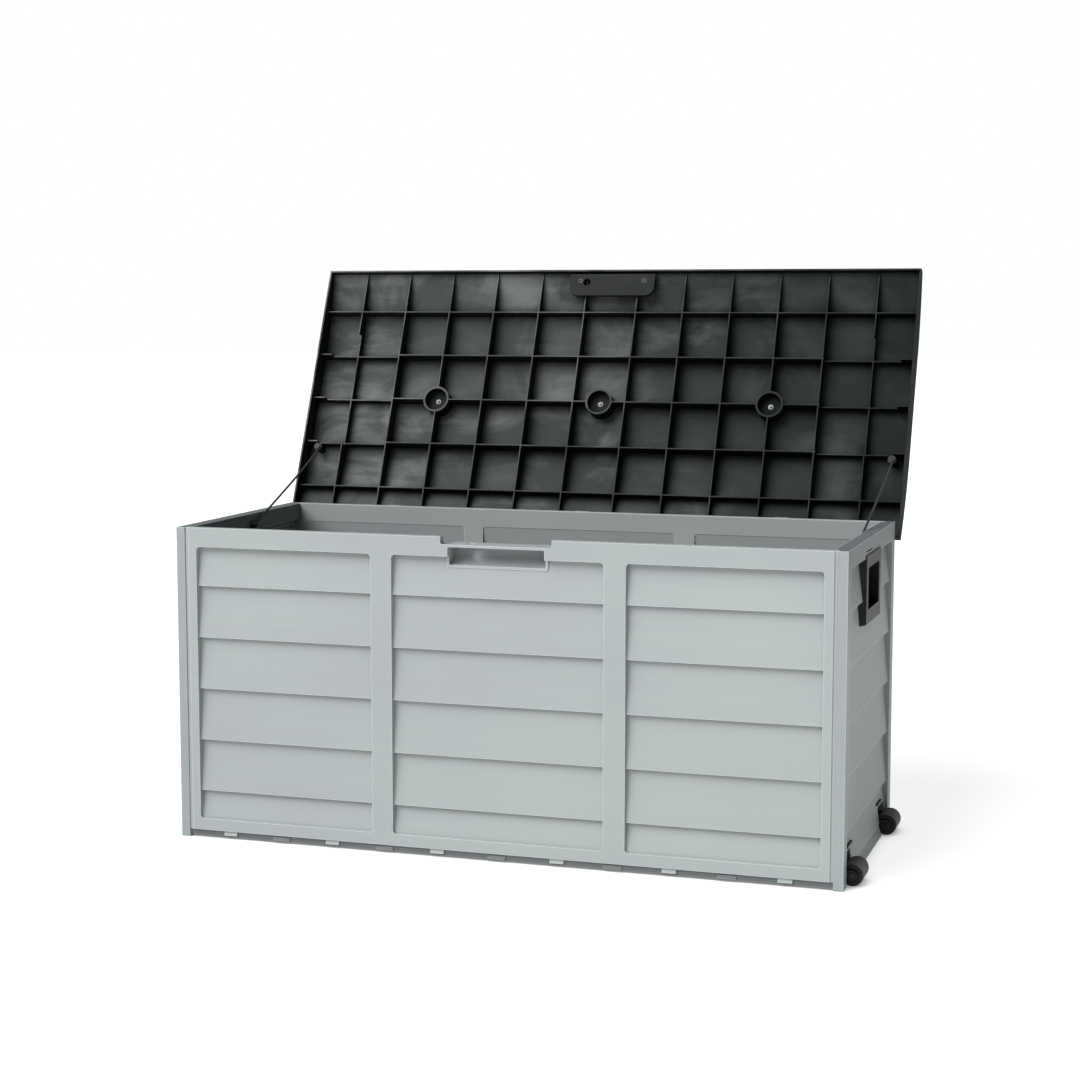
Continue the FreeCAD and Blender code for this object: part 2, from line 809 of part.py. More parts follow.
def screw(x, y, head_low, shank_length):
    head_start = FreeCAD.Vector(x, y, head_low)
    head = rod(screw_head_radius, screw_head_height, head_start, Z)
    slot_long = box(x - screw_head_radius / 2, x + screw_head_radius / 2, y - driver_slot / 2,
                    y + driver_slot / 2, head_low, head_low + driver_slot_depth)
    slot_cross = box(x - driver_slot / 2, x + driver_slot / 2, y - screw_head_radius / 2,
                     y + screw_head_radius / 2, head_low, head_low + driver_slot_depth)
    shank_start = FreeCAD.Vector(x, y, head_low + screw_head_height)
    shank = rod(screw_shank_radius, shank_length, shank_start, Z)
    return clean(head.cut([slot_long, slot_cross]).fuse(shank))


def latch_pad_screws():
    low = rib_plane - pad_thickness
    length = pad_thickness - screw_head_height + screw_shank_length
    screws = [screw(x, pad_front + pad_screw_inset, low, length) for x in (-pad_screw_x, pad_screw_x)]
    return opened(Part.makeCompound(screws))


def hinge_pins():
    length = body_knuckle_width + 2 * (knuckle_gap + lid_knuckle_width)
    pins = []
    for centre in hinge_centres:
        start = FreeCAD.Vector(centre - length / 2, hinge_y, hinge_z)
        pins.append(rod(hinge_pin_radius, length, start, X))
    return Part.makeCompound(pins)


# ---- stays
def stay_lid_screws():
    length = 2 * stay_radius + stay_screw_length
    screws = [screw(x, stay_lid_y, rib_plane, length) for x in (-stay_lid_x, stay_lid_x)]
    return opened(Part.makeCompound(screws))


def stay_box_screws():
    length = 2 * stay_radius + stay_screw_length
    upright = screw(0, 0, 0, length)
    upright.rotate(ORIGIN, Y, 90)
    head_x = stay_box_x - stay_radius - screw_head_height
    right = moved(upright, head_x, stay_box_y, stay_box_z)
    return Part.makeCompound([right, mirrored_x(right)])


def stay_eye(start, axis):
    ring = rod(stay_eye_radius, 2 * stay_radius, start, axis)
    return ring.cut(rod(screw_shank_radius, 2 * stay_radius, start, axis))


def open_point(x, y, z):
    return opened(Part.Vertex(x, y, z)).Point


def bent_path(start, corner, end):
    first = corner - start
    second = end - corner
    turn = first.getAngle(second)
    shorter = min(first.Length, second.Length)
    cut_back = stay_bend_share * shorter
    bend_start = corner - first.normalize() * cut_back
    bend_end = corner + second.normalize() * cut_back
    chord_middle = (bend_start + bend_end) * 0.5
    sideways = (chord_middle - corner).normalize()
    radius = cut_back / math.tan(turn / 2)
    bend_middle = corner + sideways * (radius / math.cos(turn / 2) - radius)
    edges = [
        Part.LineSegment(start, bend_start).toShape(),
        Part.Arc(bend_start, bend_middle, bend_end).toShape(),
        Part.LineSegment(bend_end, end).toShape(),
    ]
    return Part.Wire(edges)


def right_stay():
    lid_eye = opened(stay_eye(FreeCAD.Vector(stay_lid_x, stay_lid_y, stay_lid_plane), Z))
    box_eye = stay_eye(FreeCAD.Vector(stay_box_x - stay_radius, stay_box_y, stay_box_z), X)
    middle_z = stay_lid_plane + stay_radius
    upper = open_point(stay_lid_x, stay_lid_y + stay_start, middle_z)
    corner = open_point(stay_lid_x, stay_lid_y + stay_run_out, middle_z)
    corner.x = stay_box_x + (corner.z - stay_box_z) * math.tan(math.radians(stay_splay))
    eye_middle = FreeCAD.Vector(stay_box_x, stay_box_y, stay_box_z)
    lower = eye_middle + (corner - eye_middle).normalize() * stay_start
    path = bent_path(upper, corner, lower)
    section = Part.Wire(Part.makeCircle(stay_radius, upper, corner - upper))
    cord = path.makePipeShell([section], True, False)
    return clean(cord.fuse([lid_eye, box_eye]))


save("front_panel", front_panel())
save("back_panel", back_panel())
save("left_end_panel", left_end_panel())
save("right_end_panel", right_end_panel())
save("floor_panel", floor_panel())
save("lid", lid())
save("latch_pad", latch_pad())
save("latch_pad_screws", latch_pad_screws())
save("hinge_pins", hinge_pins())
save("right_handle", handle())
save("left_handle", mirrored_x(handle()))
save("right_lid_stay", right_stay())
save("left_lid_stay", mirrored_x(right_stay()))
save("stay_lid_screws", stay_lid_screws())
save("stay_box_screws", stay_box_screws())
for name, side_sign in (("front", -1), ("rear", 1)):
    save(name + "_wheel_housing", wheel_housing(side_sign))
    save(name + "_wheel_axle", wheel_axle(side_sign))
    save(name + "_wheel_hub", wheel_hub(side_sign))
    save(name + "_wheel_tyre", wheel_tyre(side_sign))
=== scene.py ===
import math

import bmesh
import bpy
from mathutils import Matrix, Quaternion, Vector


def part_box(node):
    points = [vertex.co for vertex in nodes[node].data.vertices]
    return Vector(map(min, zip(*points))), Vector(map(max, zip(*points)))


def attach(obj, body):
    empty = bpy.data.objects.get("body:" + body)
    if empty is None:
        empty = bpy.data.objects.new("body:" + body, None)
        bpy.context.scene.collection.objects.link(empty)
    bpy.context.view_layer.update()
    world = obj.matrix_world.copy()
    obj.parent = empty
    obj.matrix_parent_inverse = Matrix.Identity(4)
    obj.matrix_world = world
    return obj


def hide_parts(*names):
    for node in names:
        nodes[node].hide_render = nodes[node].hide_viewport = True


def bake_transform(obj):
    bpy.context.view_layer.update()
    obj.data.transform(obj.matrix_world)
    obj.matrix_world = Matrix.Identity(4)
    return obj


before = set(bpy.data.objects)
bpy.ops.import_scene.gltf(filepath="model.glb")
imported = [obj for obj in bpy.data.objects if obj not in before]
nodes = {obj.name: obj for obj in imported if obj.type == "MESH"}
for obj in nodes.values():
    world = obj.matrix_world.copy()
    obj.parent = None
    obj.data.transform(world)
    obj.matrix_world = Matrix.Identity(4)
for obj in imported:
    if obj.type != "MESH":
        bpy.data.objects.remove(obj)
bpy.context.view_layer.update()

MM = 0.001
LID_ANGLE = math.radians(113.65)
LID_OUTWARD = Vector((0, math.sin(LID_ANGLE), math.cos(LID_ANGLE)))
HINGE_LINE = Vector((0, 242.5 * MM, 507.0 * MM))
BOSS_SPACING = 312.0 * MM
BOSS_FLOOR = Vector((0, 23.4 * MM, 531.5 * MM))
BOSS_WELL_RADIUS = 19.0 * MM
BOSS_NUB_RADIUS = 4.2 * MM


def opened(point):
    """Where a point of the closed lid lies when the lid stands open."""
    return HINGE_LINE + Quaternion((1, 0, 0), -LID_ANGLE) @ (point - HINGE_LINE)


def boss_floors():
    return [opened(BOSS_FLOOR + Vector((across, 0, 0))) for across in (-BOSS_SPACING, 0, BOSS_SPACING)]


# ---- shader arithmetic
class Signal:
    """A node's output that takes part in arithmetic."""

    def __init__(self, finish, socket):
        self.finish = finish
        self.socket = socket

    def combine(self, operation, first, second):
        made = self.finish.node("ShaderNodeMath", {"operation": operation}, {0: first, 1: second})
        return made[0]

    def __add__(self, other):
        return self.combine("ADD", self, other)

    def __mul__(self, other):
        return self.combine("MULTIPLY", self, other)

    def __truediv__(self, other):
        return self.combine("DIVIDE", self, other)

    def __rsub__(self, other):
        return self.combine("SUBTRACT", other, self)

    __radd__ = __add__
    __rmul__ = __mul__


class Outputs:
    """The outputs of a node, by name or number."""

    def __init__(self, finish, node):
        self.finish = finish
        self.node = node

    def __getitem__(self, key):
        return Signal(self.finish, self.node.outputs[key])


class Finish:
    """A material on one Principled shader, read in the object's own coordinates."""

    def __init__(self, name, **constants):
        self.material = bpy.data.materials.new(name)
        self.material.use_nodes = True
        self.tree = self.material.node_tree
        self.shader = self.tree.nodes["Principled BSDF"]
        for socket, value in constants.items():
            self.shader.inputs[socket.replace("_", " ").title().replace("Ior", "IOR")].default_value = value
        self.place = self.node("ShaderNodeTexCoord")["Object"]

    def node(self, kind, settings=None, inputs=None):
        made = self.tree.nodes.new(kind)
        for setting, value in (settings or {}).items():
            if setting == "stops":
                self.set_stops(made.color_ramp, value)
            else:
                setattr(made, setting, value)
        for key, value in (inputs or {}).items():
            self.feed(made.inputs[key], value)
        return Outputs(self, made)

    def set_stops(self, ramp, stops):
        while len(ramp.elements) < len(stops):
            ramp.elements.new(0.5)
        for element, (position, level) in zip(ramp.elements, stops):
            element.position = position
            element.color = (level, level, level, 1)

    def feed(self, socket, value):
        if isinstance(value, Signal):
            self.tree.links.new(value.socket, socket)
        else:
            socket.default_value = value

    def stretched(self, scale):
        return self.node("ShaderNodeMapping", {}, {"Vector": self.place, "Scale": scale})["Vector"]

    def noise(self, scale, detail=3.0, roughness=0.5, where=None, distortion=0.0):
        inputs = {
            "Vector": where or self.place,
            "Scale": scale,
            "Detail": detail,
            "Roughness": roughness,
            "Distortion": distortion,
        }
        return self.node("ShaderNodeTexNoise", {}, inputs)["Fac"]

    def ramp(self, signal, *stops):
        return self.node("ShaderNodeValToRGB", {"stops": stops}, {"Fac": signal})["Color"]

    def mix(self, factor, first, second):
        made = self.node("ShaderNodeMix", {"data_type": "RGBA"}, {0: factor, 6: first, 7: second})
        return made[2]

    def rounded(self, radius):
        return self.node("ShaderNodeBevel", {"samples": 4}, {"Radius": radius})["Normal"]

    # A mask of convex edges, used to paint highlights along them.
    def edges(self, radius):
        flat = self.node("ShaderNodeNewGeometry")["Normal"]
        inputs = {0: self.rounded(radius), 1: flat}
        facing = self.node("ShaderNodeVectorMath", {"operation": "DOT_PRODUCT"}, inputs)["Value"]
        return self.ramp(1 - facing, (0.0, 0.0), (0.06, 1.0))

    # An ambient occlusion mask, used to paint shade into corners and creases.
    def crevices(self, reach):
        openness = self.node("ShaderNodeAmbientOcclusion", {"samples": 6}, {"Distance": reach})["AO"]
        return self.ramp(openness, (0.25, 1.0), (0.72, 0.0))

    def toward(self, direction):
        """1 where the surface faces along direction, 0 where it is edge on, -1 where it faces away."""
        inputs = {0: self.node("ShaderNodeTexCoord")["Normal"], 1: direction}
        return self.node("ShaderNodeVectorMath", {"operation": "DOT_PRODUCT"}, inputs)["Value"]

    def facing(self, direction):
        """1 where the surface faces along direction or against it, 0 where it is edge on."""
        return self.size_of(self.toward(direction))

    def near(self, centre, radius):
        """1 within radius of a point, 0 a fifth further out."""
        inputs = {0: self.place, 1: centre}
        away = self.node("ShaderNodeVectorMath", {"operation": "DISTANCE"}, inputs)["Value"]
        return self.ramp(away / (2 * radius), (0.5, 1.0), (0.6, 0.0))

    def size_of(self, signal):
        return self.node("ShaderNodeMath", {"operation": "ABSOLUTE"}, {0: signal})[0]

    def along(self, axis, start, end, both_ways=False):
        """0 at start and 1 at end, along one axis of the object or out from its middle both ways."""
        place = self.node("ShaderNodeSeparateXYZ", {}, {0: self.place})[axis]
        if both_ways:
            place = self.size_of(place)
        return self.node("ShaderNodeMapRange", {}, {0: place, 1: start, 2: end})[0]

    def bump(self, height, depth, strength=1.0, normal=None):
        inputs = {"Height": height, "Distance": depth, "Strength": strength}
        if normal is not None:
            inputs["Normal"] = normal
        return self.node("ShaderNodeBump", {}, inputs)["Normal"]

    def colour(self, value):
        self.feed(self.shader.inputs["Base Color"], value)

    def roughness(self, value):
        self.feed(self.shader.inputs["Roughness"], value)

    def normal(self, value):
        self.feed(self.shader.inputs["Normal"], value)


def rgb(red, green, blue):
    return (red, green, blue, 1.0)


# ---- finishes
TONGUE_REACH = 6.0 * MM
SEAM_WIDTH = 1.5 * MM
SEAM_BLUR = 0.5 * MM
# Depths behind the front face where the painted seam shade begins and where it is full.
SEAM_SHADE_STARTS_BEHIND_FACE = 4.0 * MM
SEAM_SHADE_FULL_BEHIND_FACE = 2.0 * MM
TOP_SHADE_START = 0.36
TOP_SHADE_END = 0.50
FOOT_SHADE_HEIGHT = 0.45
CORNER_REACH = 6.0 * MM
PANEL_EDGE_WIDTH = 1.7 * MM
PANEL_ROUNDING = 0.9 * MM
GRAIN_DEPTH = 0.12 * MM
GRIT_DEPTH = 0.03 * MM
# Colour of the painted shade towards the bottom of the panels.
FOOT_SHADE = rgb(0.17, 0.185, 0.190)
CORNER_SHADE = rgb(0.085, 0.098, 0.100)


def seam_shade(finish):
    """Painted shade: a dark line down each corner, in the gap where a long panel meets an end panel."""
    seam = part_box("front_panel")[1][0] - TONGUE_REACH
    before = finish.along("X", seam - SEAM_BLUR, seam, True)
    after = finish.along("X", seam + SEAM_WIDTH, seam + SEAM_WIDTH + SEAM_BLUR, True)
    face = -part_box("front_panel")[0][1]
    starts = face - SEAM_SHADE_STARTS_BEHIND_FACE
    near_face = finish.along("Y", starts, face - SEAM_SHADE_FULL_BEHIND_FACE, True)
    return before * (1 - after) * near_face


def panel_finish(name, grain_scale, light, dark, edge_highlight, top_shade=0.0):
    finish = Finish(name, specular_ior_level=0.4)
    streaks = finish.noise(1.0, 6.0, 0.62, finish.stretched(grain_scale), 0.6)
    clouds = finish.noise(2.2, 2.0)
    grit = finish.noise(1400.0, 2.0)
    tone = finish.ramp(clouds * 0.7 + streaks * 0.3, (0.36, 0.0), (0.66, 1.0))
    colour = finish.mix(tone, dark, light)
    # Painted shade: the panels darken towards the bottom.
    foot = 1 - finish.along("Z", 0.0, FOOT_SHADE_HEIGHT)
    # Painted shade: darker in corners and creases, from an ambient occlusion mask.
    corner = finish.crevices(CORNER_REACH)
    top = finish.along("Z", TOP_SHADE_START, TOP_SHADE_END) * (1 - finish.facing((0, 1, 0)))
    colour = finish.mix(foot * 0.2, colour, FOOT_SHADE)
    shades = corner * 0.9 + seam_shade(finish) + top * top_shade
    shade = finish.node("ShaderNodeClamp", {}, {0: shades})[0]
    colour = finish.mix(shade, colour, CORNER_SHADE)
    # Painted highlight: a pale line along the convex edges.
    edge = finish.edges(PANEL_EDGE_WIDTH)
    finish.colour(finish.mix(edge * (1 - corner) * 0.75, colour, edge_highlight))
    finish.roughness(0.46 + 0.1 * streaks + 0.06 * grit)
    grain = finish.ramp(streaks, (0.40, 0.0), (0.52, 1.0))
    coarse = finish.bump(grain, GRAIN_DEPTH, 0.35, finish.rounded(PANEL_ROUNDING))
    finish.normal(finish.bump(grit, GRIT_DEPTH, 0.5, coarse))
    return finish.material


LID_SHADE = rgb(0.001, 0.0015, 0.0015)
LID_EDGE_HIGHLIGHT = rgb(0.09, 0.10, 0.10)
NUB_HIGHLIGHT = rgb(0.42, 0.43, 0.43)
LID_DEEP = rgb(0.012, 0.0145, 0.0150)
# Lid colours where the painted sheen is full.
LID_DEEP_IN_SHEEN = rgb(0.058, 0.063, 0.063)
LID_PALE = rgb(0.032, 0.037, 0.038)
LID_PALE_IN_SHEEN = rgb(0.165, 0.173, 0.170)
SHEEN_FULL_X = -0.35
SHEEN_GONE_X = 0.50
LID_CORNER_REACH = 20.0 * MM
LID_EDGE_WIDTH = 0.45 * MM
SWIRL_DEPTH = 0.5 * MM


def lid_finish():
    finish = Finish("lid_black_plastic", specular_ior_level=0.07)
    haze = finish.noise(6.0, 5.0, 0.6, finish.stretched((1.0, 1.3, 1.3)), 0.8)
    patches = finish.ramp(finish.noise(4.5, 2.0), (0.36, 0.15), (0.56, 1.0))
    wipe = finish.noise(1.0, 4.0, 0.6, finish.stretched((9.0, 60.0, 60.0)), 0.4)
    grit = finish.noise(1500.0, 2.0)
    # Pale cloudy patches, partly smears on the plastic and partly painted sheen, mostly on faces turned the
    # way of the lid's underside.
    smear_and_sheen = finish.ramp(haze * 0.8 + wipe * 0.2, (0.44, 0.0), (0.62, 1.0)) * patches
    smear_and_sheen = smear_and_sheen * finish.ramp(finish.toward(-LID_OUTWARD), (0.0, 0.12), (0.4, 1.0))
    # Painted sheen: the lid is paler towards its left end, fading out towards the right.
    painted_sheen = 1 - finish.along("X", SHEEN_FULL_X, SHEEN_GONE_X)
    deep = finish.mix(painted_sheen, LID_DEEP, LID_DEEP_IN_SHEEN)
    pale = finish.mix(painted_sheen, LID_PALE, LID_PALE_IN_SHEEN)
    colour = finish.mix(smear_and_sheen, deep, pale)
    # Painted shade: rib flanks and corners are darkened towards near black.
    flank = finish.ramp(finish.facing(LID_OUTWARD), (0.15, 1.0), (0.62, 0.0))
    colour = finish.mix(finish.crevices(LID_CORNER_REACH) * 0.9, colour, LID_SHADE)
    colour = finish.mix(flank * 0.85, colour, LID_SHADE)
    # Painted highlight: a faint pale line along the lid's convex edges.
    colour = finish.mix(finish.edges(LID_EDGE_WIDTH) * 0.2, colour, LID_EDGE_HIGHLIGHT)
    # Painted shade in each boss well, and a painted highlight on the nub at its middle.
    for floor in boss_floors():
        colour = finish.mix(finish.near(floor, BOSS_WELL_RADIUS) * 0.75, colour, LID_SHADE)
        colour = finish.mix(finish.near(floor, BOSS_NUB_RADIUS), colour, NUB_HIGHLIGHT)
    finish.colour(colour)
    finish.roughness(0.62 - 0.12 * smear_and_sheen + 0.08 * wipe)
    swirl = finish.bump(haze, SWIRL_DEPTH, 0.3)
    finish.normal(finish.bump(grit, GRIT_DEPTH, 0.5, swirl))
    return finish.material


EDGE_HIGHLIGHT_WIDTH = 0.8 * MM


def dark_plastic(name, deep, wear_and_highlight, base_roughness):
    finish = Finish(name, specular_ior_level=0.12)
    patches = finish.noise(26.0, 3.0)
    grit = finish.noise(1800.0, 2.0)
    edge = finish.edges(EDGE_HIGHLIGHT_WIDTH)
    tone = finish.ramp(patches, (0.35, 0.0), (0.7, 1.0))
    colour = finish.mix(tone * 0.6, deep, wear_and_highlight)
    # Painted highlight: the convex edges take the pale colour.
    finish.colour(finish.mix(edge * 0.6, colour, wear_and_highlight))
    finish.roughness(base_roughness + 0.12 * patches + 0.05 * grit)
    finish.normal(finish.bump(grit, GRIT_DEPTH, 0.5))
    return finish.material


TREAD_CLEAN = rgb(0.135, 0.139, 0.139)
TREAD_DUSTY = rgb(0.215, 0.218, 0.216)
TYRE_SIDE = rgb(0.010, 0.011, 0.011)
TYRE_GROOVE_SHADE = rgb(0.006, 0.006, 0.006)
TYRE_GROOVE_REACH = 1.5 * MM
TYRE_GRIT_DEPTH = 0.06 * MM


def tyre_finish():
    finish = Finish("tyre_grey_rubber", specular_ior_level=0.3)
    dust = finish.noise(90.0, 4.0, 0.65)
    grit = finish.noise(1500.0, 2.0)
    mask = finish.ramp(dust, (0.4, 0.0), (0.68, 1.0))
    tread = finish.mix(mask, TREAD_CLEAN, TREAD_DUSTY)
    side = finish.ramp(finish.facing((0, 1, 0)), (0.5, 0.0), (0.8, 1.0))
    colour = finish.mix(side, tread, TYRE_SIDE)
    # Painted shade: darker down in the tread grooves, from an ambient occlusion mask.
    finish.colour(finish.mix(finish.crevices(TYRE_GROOVE_REACH), colour, TYRE_GROOVE_SHADE))
    finish.roughness(0.68 + 0.14 * dust)
    finish.normal(finish.bump(grit, TYRE_GRIT_DEPTH, 0.6))
    return finish.material


SCRATCH_DEPTH = 0.02 * MM


def steel_finish(name, dull, bright):
    finish = Finish(name, metallic=1.0)
    spangle = finish.noise(420.0, 3.0)
    scratches = finish.noise(1.0, 3.0, 0.6, finish.stretched((900.0, 900.0, 60.0)))
    finish.colour(finish.mix(spangle, dull, bright))
    finish.roughness(0.28 + 0.18 * scratches)
    finish.normal(finish.bump(scratches, SCRATCH_DEPTH, 0.4))
    return finish.material


CORD_DARK = rgb(0.012, 0.013, 0.014)
CORD_LIGHT = rgb(0.05, 0.052, 0.054)
FIBRE_DEPTH = 0.1 * MM


def cord_finish():
    finish = Finish("braided_cord", specular_ior_level=0.25)
    fibres = finish.noise(2600.0, 2.0)
    tufts = finish.noise(380.0, 3.0)
    finish.colour(finish.mix(fibres * 0.6 + tufts * 0.4, CORD_DARK, CORD_LIGHT))
    finish.roughness(0.72 + 0.15 * fibres)
    finish.normal(finish.bump(fibres, FIBRE_DEPTH, 0.5))
    return finish.material


WHITE = rgb(1.0, 1.0, 1.0)
CONTACT_SHADE = rgb(0.12, 0.12, 0.12)
CONTACT_REACH = 45.0 * MM
STUDIO_GLOW = 0.80
STUDIO_DARK = rgb(0.44, 0.44, 0.44)
STUDIO_LIGHT = rgb(0.46, 0.46, 0.46)


def studio_finish():
    finish = Finish("studio_floor", specular_ior_level=0.05, emission_strength=STUDIO_GLOW)
    mottle = finish.noise(0.8, 2.0)
    glow = finish.mix(finish.crevices(CONTACT_REACH) * 0.85, WHITE, CONTACT_SHADE)
    finish.feed(finish.shader.inputs["Emission Color"], glow)
    finish.colour(finish.mix(mottle, STUDIO_DARK, STUDIO_LIGHT))
    finish.roughness(0.85 + 0.05 * mottle)
    return finish.material


PANEL_LIGHT = rgb(0.345, 0.377, 0.371)
PANEL_DARK = rgb(0.318, 0.340, 0.345)
# Colour of the painted highlight along panel edges.
PANEL_EDGE_HIGHLIGHT = rgb(0.66, 0.69, 0.69)
# Painted shade: the end panels take a darker copy of the long panels' grey.
END_SHADED_LIGHT = rgb(0.300, 0.326, 0.325)
END_SHADED_DARK = rgb(0.272, 0.292, 0.296)
# Painted shade: the floor panel takes a much darker copy of the panels' grey, with a painted highlight along
# its edges.
FLOOR_SHADED_LIGHT = rgb(0.105, 0.113, 0.115)
FLOOR_SHADED_DARK = rgb(0.085, 0.092, 0.094)
FLOOR_EDGE_HIGHLIGHT = rgb(0.30, 0.32, 0.32)

long_panel = panel_finish("panel_grey_long_grain", (1.3, 30.0, 55.0), PANEL_LIGHT, PANEL_DARK, PANEL_EDGE_HIGHLIGHT)
end_panel = panel_finish("panel_grey_end_grain", (30.0, 1.3, 55.0), END_SHADED_LIGHT, END_SHADED_DARK, PANEL_EDGE_HIGHLIGHT, 0.8)
floor_plastic = panel_finish("floor_grey_plastic", (2.0, 2.0, 30.0), FLOOR_SHADED_LIGHT, FLOOR_SHADED_DARK, FLOOR_EDGE_HIGHLIGHT)
lid_plastic = lid_finish()
grip_plastic = dark_plastic("grip_black_plastic", rgb(0.005, 0.006, 0.006), rgb(0.018, 0.020, 0.020), 0.40)
latch_plastic = dark_plastic("latch_black_plastic", rgb(0.006, 0.0075, 0.008), rgb(0.018, 0.021, 0.022), 0.46)
hub_plastic = dark_plastic("hub_black_plastic", rgb(0.008, 0.009, 0.009), rgb(0.030, 0.032, 0.032), 0.30)
pin_plastic = dark_plastic("hinge_pin_plastic", rgb(0.024, 0.025, 0.026), rgb(0.055, 0.057, 0.058), 0.40)
tyre_rubber = tyre_finish()
blackened_steel = steel_finish("blackened_steel", rgb(0.012, 0.0125, 0.013), rgb(0.035, 0.036, 0.037))
cord_weave = cord_finish()

FINISH_OF = {
    "front_panel": long_panel,
    "back_panel": long_panel,
    "left_end_panel": end_panel,
    "right_end_panel": end_panel,
    "floor_panel": floor_plastic,
    "lid": lid_plastic,
    "latch_pad": latch_plastic,
    "latch_pad_screws": blackened_steel,
    "hinge_pins": pin_plastic,
    "left_handle": grip_plastic,
    "right_handle": grip_plastic,
    "left_lid_stay": cord_weave,
    "right_lid_stay": cord_weave,
    "stay_lid_screws": blackened_steel,
    "stay_box_screws": blackened_steel,
}
for side in ("front", "rear"):
    FINISH_OF[side + "_wheel_housing"] = hub_plastic
    FINISH_OF[side + "_wheel_axle"] = blackened_steel
    FINISH_OF[side + "_wheel_hub"] = hub_plastic
    FINISH_OF[side + "_wheel_tyre"] = tyre_rubber


def dress(name, material):
    for slot in nodes[name].material_slots:
        slot.material = material


for name, material in FINISH_OF.items():
    dress(name, material)


# ---- pieces made here
def new_piece(name, shape, material):
    bmesh.ops.recalc_face_normals(shape, faces=shape.faces)
    mesh = bpy.data.meshes.new(name)
    shape.to_mesh(mesh)
    shape.free()
    mesh.materials.append(material)
    piece = bpy.data.objects.new(name, mesh)
    bpy.context.scene.collection.objects.link(piece)
    return piece


def turned_ring(shape, outline, centre, steps):
    """Spins a closed outline of (along Y, radius) pairs about the Y line through centre."""
    verts = [shape.verts.new(centre + Vector((0, along, radius))) for along, radius in outline]
    edges = [shape.edges.new((verts[i - 1], verts[i])) for i in range(len(verts))]
    bmesh.ops.spin(shape, geom=verts + edges, cent=centre, axis=(0, 1, 0), angle=math.tau,
                   steps=steps, use_merge=True)


TREAD_STEPS = 168
TREAD_BAR_STEPS = 4
TREAD_DEPTH = 0.45 * MM
SHOULDER = 1.2 * MM
LIP = 2.5 * MM
RING_GROOVE = 1.0 * MM


def tyre_outline(half_width, inner, outer):
    side = [(half_width, inner)]
    for step in range(5):
        turn = step * math.pi / 8
        side.append((half_width - SHOULDER * (1 - math.cos(turn)),
                     outer - SHOULDER * (1 - math.sin(turn))))
    lip = half_width - LIP
    side.extend([(lip, outer), (lip, outer - RING_GROOVE)])
    side.extend([(lip - RING_GROOVE, outer - RING_GROOVE), (lip - RING_GROOVE, outer)])
    return side + [(-along, radius) for along, radius in reversed(side)]


def ribbed_tyre(side):
    low, high = map(Vector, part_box(side + "_wheel_tyre"))
    hub_low, hub_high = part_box(side + "_wheel_hub")
    centre = (low + high) / 2
    half_width = (high.y - low.y) / 2
    outer = (high.z - low.z) / 2
    inner = (hub_high[2] - hub_low[2]) / 2
    shape = bmesh.new()
    turned_ring(shape, tyre_outline(half_width, inner, outer), centre, TREAD_STEPS)
    for vert in shape.verts:
        spoke = vert.co - centre
        radius = math.hypot(spoke.x, spoke.z)
        step = round(math.atan2(spoke.z, spoke.x) / math.tau * TREAD_STEPS)
        on_tread = abs(spoke.y) < half_width - LIP and radius > outer - TREAD_DEPTH
        if on_tread and step % TREAD_BAR_STEPS == 0:
            shrink = (outer - TREAD_DEPTH) / radius
            vert.co = centre + Vector((spoke.x * shrink, spoke.y, spoke.z * shrink))
    tyre = new_piece(side + "_tyre_ribbed", shape, tyre_rubber)
    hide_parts(side + "_wheel_tyre")
    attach(tyre, side + "_wheel")


# ---- lid stays: a braided cord between two eyelets
CORD_DIAMETER = 4.4 * MM
STRANDS = 3
STRAND_SIDES = 7
LAY_LENGTH = 13.0 * MM
STRAND_RADIUS = CORD_DIAMETER * 0.3
STRAND_ORBIT = CORD_DIAMETER / 2 - STRAND_RADIUS
STAY_LID_EYE = Vector((0.5340, 0.30461, 0.61342))
STAY_BOX_EYE = Vector((0.5260, 0.0100, 0.4970))
STAY_ROUTE = [
    Vector((0.5340, 0.30260, 0.60884)),
    Vector((0.5340, 0.29819, 0.59877)),
    Vector((0.52613, 0.01471, 0.49866)),
]
EYELET_RADIUS = 7.5 * MM
EYELET_HOLE = 2.3 * MM
EYELET_ROUND = 1.0 * MM
EYELET_STEPS = 40


def mirrored(point, side_sign):
    return Vector((point.x * side_sign, point.y, point.z))


def smooth_route(name, points):
    line = bpy.data.curves.new(name, "CURVE")
    line.dimensions = "3D"
    line.resolution_u = 96
    spline = line.splines.new("NURBS")
    spline.points.add(len(points) - 1)
    for control, point in zip(spline.points, points):
        control.co = (*point, 1.0)
    spline.order_u = 3
    spline.use_endpoint_u = True
    holder = bpy.data.objects.new(name, line)
    bpy.context.scene.collection.objects.link(holder)
    read = bpy.data.meshes.new_from_object(holder)
    path = [vert.co.copy() for vert in read.vertices]
    bpy.data.meshes.remove(read)
    bpy.data.objects.remove(holder)
    return path


def strand(shape, path, phase):
    travelled = 0.0
    rings = []
    for number, point in enumerate(path):
        before = path[max(number - 1, 0)]
        after = path[min(number + 1, len(path) - 1)]
        travelled += (point - before).length
        heading = (after - before).normalized()
        across = heading.cross(Vector((0, 0, 1))).normalized()
        upward = across.cross(heading)
        turn = phase + math.tau * travelled / LAY_LENGTH
        centre = point + STRAND_ORBIT * (math.cos(turn) * across + math.sin(turn) * upward)
        ring = []
        for corner in range(STRAND_SIDES):
            angle = math.tau * corner / STRAND_SIDES
            offset = math.cos(angle) * across + math.sin(angle) * upward
            ring.append(shape.verts.new(centre + STRAND_RADIUS * offset))
        rings.append(ring)
    for first, second in zip(rings, rings[1:]):
        for corner in range(STRAND_SIDES):
            shape.faces.new((first[corner - 1], first[corner], second[corner], second[corner - 1]))
    shape.faces.new(rings[0])
    shape.faces.new(rings[-1])


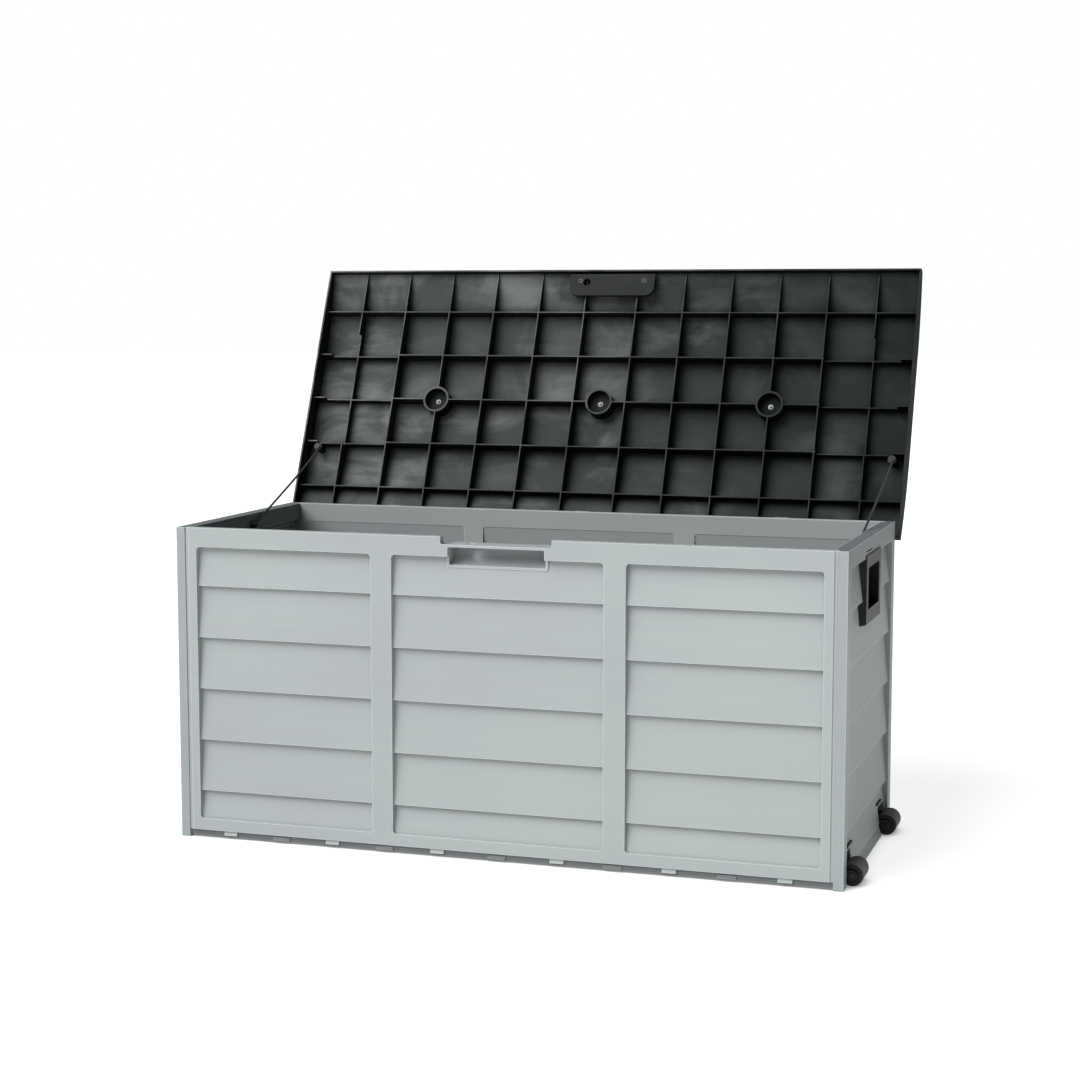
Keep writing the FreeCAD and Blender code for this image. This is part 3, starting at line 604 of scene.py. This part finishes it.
def eyelet(name, centre, axis, body):
    half = CORD_DIAMETER / 2
    outline = [(half, EYELET_RADIUS), (-half, EYELET_RADIUS), (-half, EYELET_HOLE), (half, EYELET_HOLE)]
    shape = bmesh.new()
    turned_ring(shape, outline, Vector((0, 0, 0)), EYELET_STEPS)
    rims = [edge for edge in shape.edges if edge.calc_face_angle(0.0) > 1.0]
    bmesh.ops.bevel(shape, geom=rims, offset=EYELET_ROUND, segments=3, profile=0.5,
                    affect="EDGES", material=-1)
    stand = Vector((0, 1, 0)).rotation_difference(axis).to_matrix().to_4x4()
    bmesh.ops.transform(shape, matrix=stand, verts=shape.verts)
    bmesh.ops.translate(shape, vec=centre, verts=shape.verts)
    piece = new_piece(name, shape, pin_plastic)
    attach(piece, body)
    return piece


def lid_stay(side, side_sign):
    route = [mirrored(point, side_sign) for point in STAY_ROUTE]
    path = smooth_route(side + "_stay_route", route)
    shape = bmesh.new()
    for number in range(STRANDS):
        strand(shape, path, math.tau * number / STRANDS)
    cord = new_piece(side + "_stay_cord", shape, cord_weave)
    lid_eye = mirrored(STAY_LID_EYE, side_sign)
    box_eye = mirrored(STAY_BOX_EYE, side_sign)
    eyes = [eyelet(side + "_stay_lid_eyelet", lid_eye, LID_OUTWARD, "lid"),
            eyelet(side + "_stay_box_eyelet", box_eye, Vector((1, 0, 0)), "box")]
    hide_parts(side + "_lid_stay")
    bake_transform(cord)


for side in ("front", "rear"):
    ribbed_tyre(side)
for side, side_sign in (("right", 1), ("left", -1)):
    lid_stay(side, side_sign)


# ---- studio
STUDIO_SIZE = 30.0
AMBIENT_TINT = (0.96, 0.98, 1.0, 1.0)
AMBIENT_STRENGTH = 0.20
KEY_HEADING = (0.66, 0.66, -1.0)
KEY_SPREAD = 50.0
KEY_STRENGTH = 4.4
LENS = 71.08
SENSOR_WIDTH = 36.0
CAMERA_PLACE = (1.0866, -3.3422, 0.8876)
CAMERA_TILT = math.radians(83.54)
CAMERA_TURN = math.radians(18.011)


def studio_floor():
    mesh = bpy.data.meshes.new("studio_floor")
    shape = bmesh.new()
    bmesh.ops.create_grid(shape, x_segments=1, y_segments=1, size=STUDIO_SIZE)
    shape.to_mesh(mesh)
    shape.free()
    floor = bpy.data.objects.new("studio_floor", mesh)
    bpy.context.scene.collection.objects.link(floor)
    mesh.materials.append(studio_finish())


def studio_world():
    world = bpy.data.worlds.new("studio_white")
    world.use_nodes = True
    tree = world.node_tree
    backdrop = tree.nodes["Background"]
    backdrop.inputs["Color"].default_value = WHITE
    backdrop.inputs["Strength"].default_value = 1.0
    ambient = tree.nodes.new("ShaderNodeBackground")
    ambient.inputs["Color"].default_value = AMBIENT_TINT
    ambient.inputs["Strength"].default_value = AMBIENT_STRENGTH
    rays = tree.nodes.new("ShaderNodeLightPath")
    chosen = tree.nodes.new("ShaderNodeMixShader")
    tree.links.new(rays.outputs["Is Camera Ray"], chosen.inputs[0])
    tree.links.new(ambient.outputs[0], chosen.inputs[1])
    tree.links.new(backdrop.outputs[0], chosen.inputs[2])
    tree.links.new(chosen.outputs[0], tree.nodes["World Output"].inputs["Surface"])
    bpy.context.scene.world = world


def studio_sun(name, heading, spread, strength):
    lamp = bpy.data.lights.new(name, "SUN")
    lamp.energy = strength
    lamp.angle = math.radians(spread)
    rig = bpy.data.objects.new(name, lamp)
    rig.rotation_euler = Vector(heading).to_track_quat("-Z", "Y").to_euler()
    bpy.context.scene.collection.objects.link(rig)


def studio_lights():
    studio_world()
    studio_sun("key", KEY_HEADING, KEY_SPREAD, KEY_STRENGTH)


def camera():
    lens = bpy.data.cameras.new("camera")
    lens.sensor_width = SENSOR_WIDTH
    lens.lens = LENS
    holder = bpy.data.objects.new("camera", lens)
    holder.location = CAMERA_PLACE
    holder.rotation_euler = (CAMERA_TILT, 0.0, CAMERA_TURN)
    bpy.context.scene.collection.objects.link(holder)
    bpy.context.scene.camera = holder


studio_floor()
studio_lights()
camera()
bpy.context.scene.view_settings.view_transform = "Standard"
